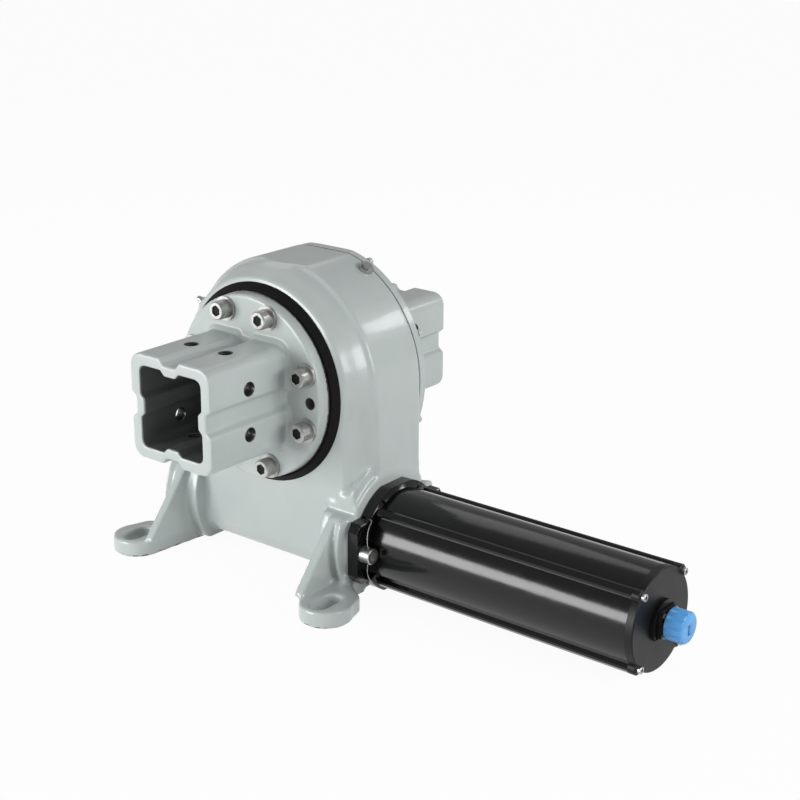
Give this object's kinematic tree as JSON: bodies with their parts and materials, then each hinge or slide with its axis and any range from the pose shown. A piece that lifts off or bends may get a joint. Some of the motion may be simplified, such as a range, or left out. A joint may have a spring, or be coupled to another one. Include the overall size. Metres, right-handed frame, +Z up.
{
  "type": "slew drive",
  "caption": "Worm slew drive for a solar tracker with square torque tube sockets on both sides, slotted feet and a tube motor.",
  "frame": {"origin": "centre of the four foot slots on the ground plane under the feet", "axes": "+Z up from the feet; X along the output axis, with the pictured socket toward -X; the motor points toward -Y"},
  "size_m": [0.352, 0.611, 0.3115],
  "materials": {
    "grey_paint": "thick semi-gloss grey paint on a sand casting, slight orange peel",
    "black_rubber": "dark rubber lip seal",
    "gasket": "thin fibre gasket",
    "bronze": "turned bronze",
    "machined_steel": "ground steel",
    "wheel_iron": "hobbed ductile iron, oiled",
    "black_paint": "gloss black paint on extruded aluminium",
    "stainless": "bright stainless steel",
    "black_plastic": "moulded connector body",
    "blue_plastic": "bright blue moulded dust cap",
    "brass": "plated contact pins"
  },
  "bodies": {
    "housing": {"gear_housing": "grey_paint", "rear_cover": "grey_paint", "cover_gasket": "gasket", "rear_cover_screws": "stainless", "front_seal_ring": "black_rubber", "rear_seal_ring": "black_rubber", "front_bearing_ring": "bronze", "rear_bearing_ring": "bronze", "worm_bearing_motor_side": "machined_steel", "worm_bearing_far_side": "machined_steel", "worm_oil_seal": "black_rubber", "bearing_spacer": "machined_steel", "worm_end_cap": "grey_paint", "end_cap_gasket": "gasket", "end_cap_screws": "stainless", "grease_nipple": "stainless", "filler_plug": "stainless", "motor_gasket": "gasket", "motor_adapter": "black_paint", "adapter_washers": "stainless", "adapter_bolts": "stainless", "motor_tube": "black_paint", "motor_end_cap": "black_paint", "motor_end_cap_screws": "stainless", "gearhead": "machined_steel", "motor_can": "machined_steel", "connector_gasket": "black_rubber", "connector_body": "black_plastic", "connector_screws": "stainless", "connector_pins": "brass"},
    "output": {"worm_wheel": "wheel_iron", "front_coupling": "grey_paint", "rear_coupling": "grey_paint", "front_coupling_washers": "stainless", "front_coupling_screws": "stainless", "rear_coupling_washers": "stainless", "rear_coupling_screws": "stainless"},
    "worm": {"worm": "machined_steel", "drive_shaft": "machined_steel", "shaft_key": "machined_steel", "worm_race_motor_side": "machined_steel", "worm_race_far_side": "machined_steel"},
    "connector_cap": {"connector_cap": "blue_plastic"}
  },
  "joints": [
    {"name": "output_turn", "type": "hinge", "parent": "housing", "child": "output", "pos_m": [0, 0, 0.1945], "axis": [1, 0, 0], "continuous": true},
    {"name": "worm_turn", "type": "hinge", "parent": "housing", "child": "worm", "pos_m": [0, 0, 0.0505], "axis": [0, 1, 0], "continuous": true},
    {"name": "cap_pull", "type": "slide", "parent": "housing", "child": "connector_cap", "axis": [0, -1, 0], "range_m": [0, 0.03]}
  ],
  "couplings": [
    {"joint": "worm_turn", "follows": "output_turn", "ratio": -54}
  ]
}
